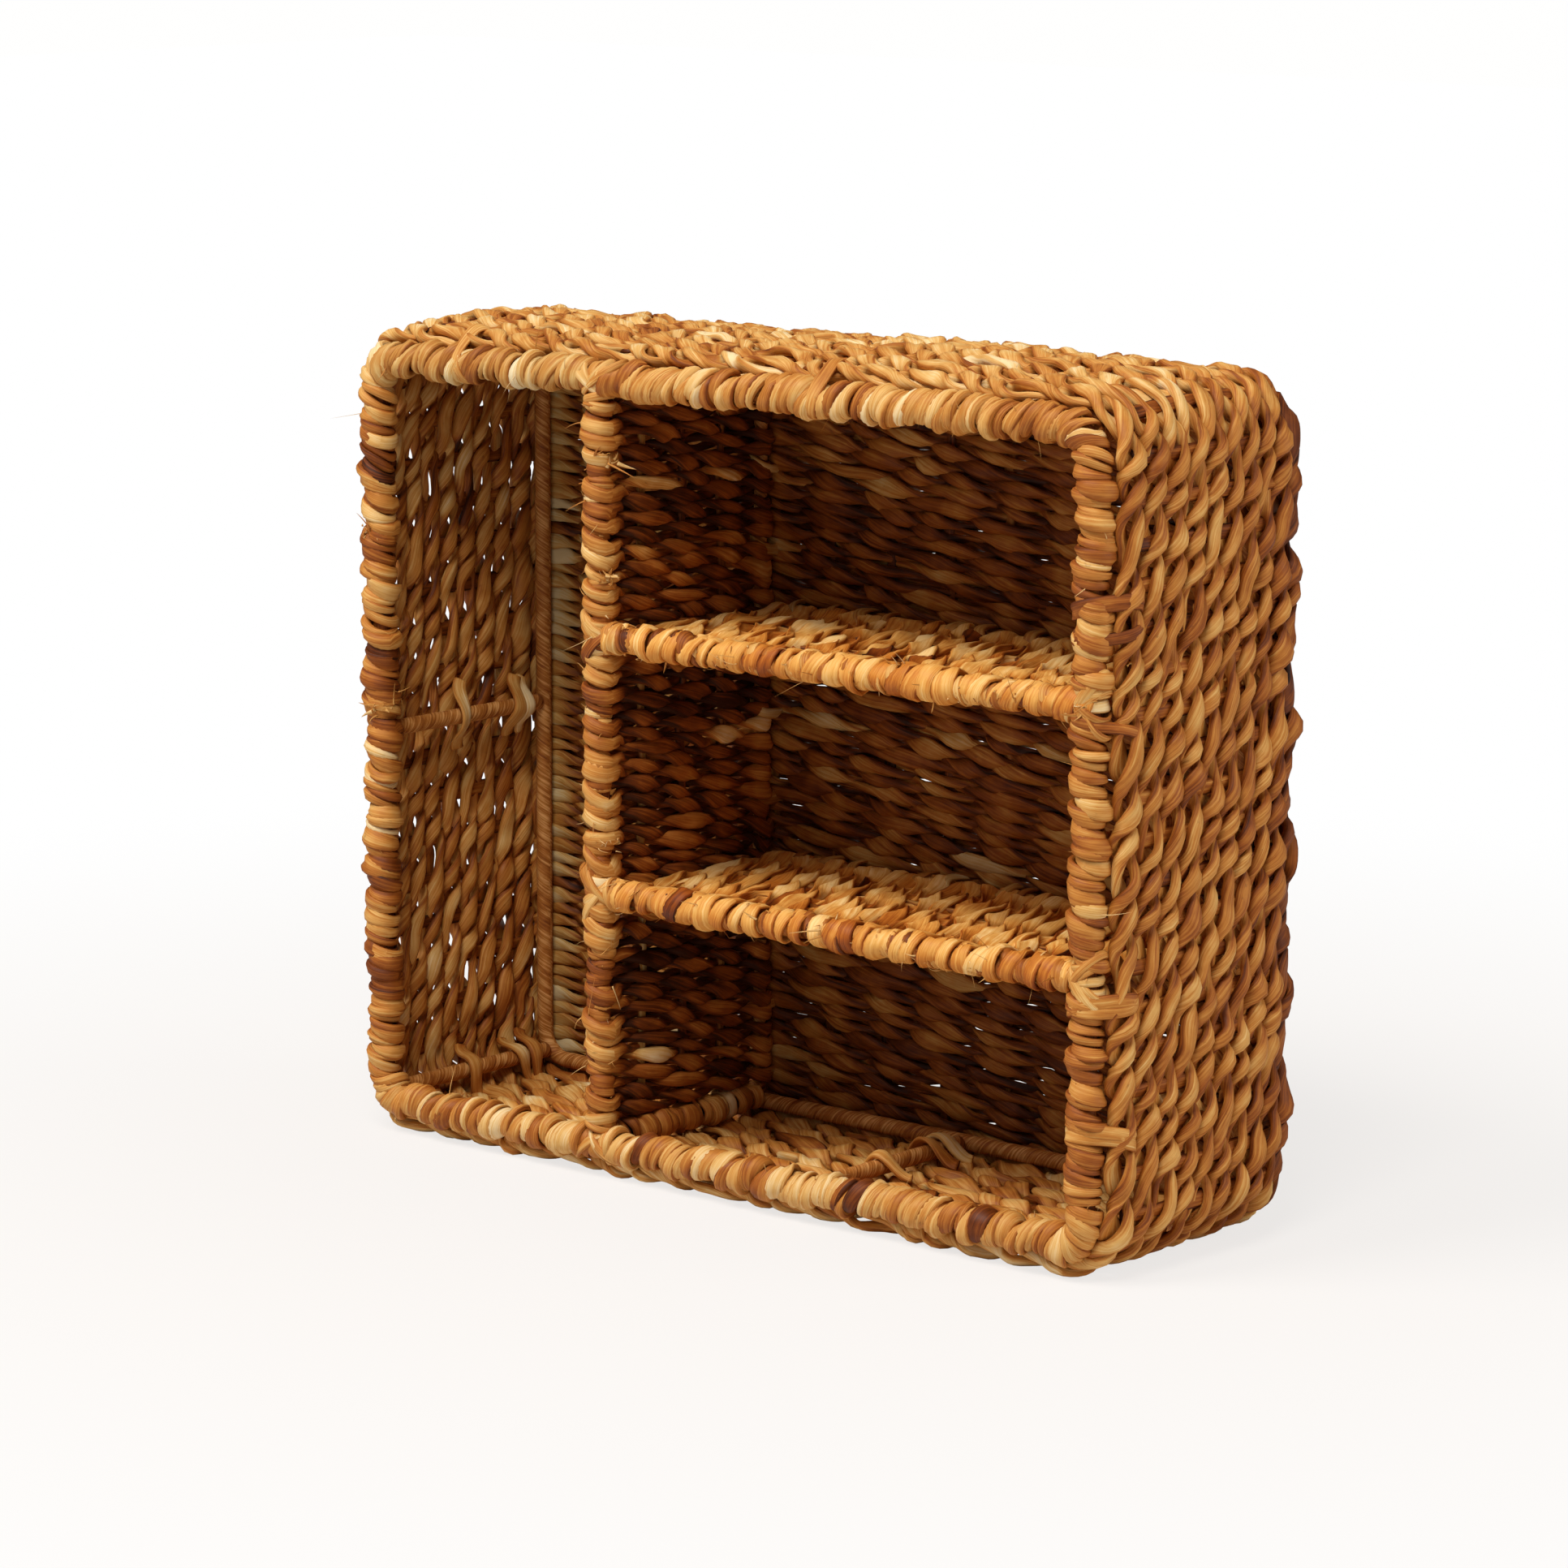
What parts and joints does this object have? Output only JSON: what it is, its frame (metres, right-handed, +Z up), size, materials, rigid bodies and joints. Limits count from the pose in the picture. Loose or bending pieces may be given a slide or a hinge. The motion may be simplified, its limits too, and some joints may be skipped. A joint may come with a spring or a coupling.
{
  "type": "sectioned seagrass basket",
  "caption": "Shallow rectangular seagrass basket on a wire frame, with one tall section beside stacked shelves, standing on its long side with its mouth to the front.",
  "frame": {"origin": "on the floor, under the middle of the bounding box, with the basket standing on one long side wall", "axes": "+X to the right along the width, +Y from the open mouth to the woven base at the back, +Z up"},
  "size_m": [0.3624, 0.1068, 0.3084],
  "materials": {
    "seagrass": "dried leaf, matte to satin",
    "wire": "plain drawn wire",
    "paper_tape": "wire wound with glued brown paper tape, matte"
  },
  "bodies": {
    "root": {"rim_wire": "wire", "base_wire": "paper_tape", "corner_strut_bottom_left": "paper_tape", "corner_strut_bottom_right": "paper_tape", "corner_strut_top_left": "paper_tape", "corner_strut_top_right": "paper_tape", "left_wall_strut": "paper_tape", "right_wall_strut": "paper_tape", "top_wall_strut": "paper_tape", "bottom_wall_strut": "paper_tape", "divider_front_wire": "wire", "divider_back_wire": "paper_tape", "divider_foot_wire": "wire", "divider_head_wire": "wire", "upper_shelf_front_wire": "wire", "upper_shelf_back_wire": "paper_tape", "lower_shelf_front_wire": "wire", "lower_shelf_back_wire": "paper_tape", "wall_course_1": "seagrass", "wall_course_2": "seagrass", "wall_course_3": "seagrass", "wall_course_4": "seagrass", "wall_course_5": "seagrass", "wall_course_6": "seagrass", "wall_course_7": "seagrass", "wall_course_8": "seagrass", "wall_course_9": "seagrass", "base_weave": "seagrass", "divider_weave": "seagrass", "upper_shelf_weave": "seagrass", "lower_shelf_weave": "seagrass", "rim_wrap_bottom_left": "seagrass", "rim_wrap_bottom_right": "seagrass", "rim_wrap_right_lower": "seagrass", "rim_wrap_right_middle": "seagrass", "rim_wrap_right_upper": "seagrass", "rim_wrap_top_right": "seagrass", "rim_wrap_top_left": "seagrass", "rim_wrap_left": "seagrass", "divider_wrap_lower": "seagrass", "divider_wrap_middle": "seagrass", "divider_wrap_upper": "seagrass", "divider_foot_wrap": "seagrass", "divider_head_wrap": "seagrass", "upper_shelf_wrap": "seagrass", "lower_shelf_wrap": "seagrass", "divider_foot_lashing": "seagrass", "divider_head_lashing": "seagrass", "upper_shelf_left_lashing": "seagrass", "upper_shelf_right_lashing": "seagrass", "lower_shelf_left_lashing": "seagrass", "lower_shelf_right_lashing": "seagrass"}
  },
  "joints": []
}
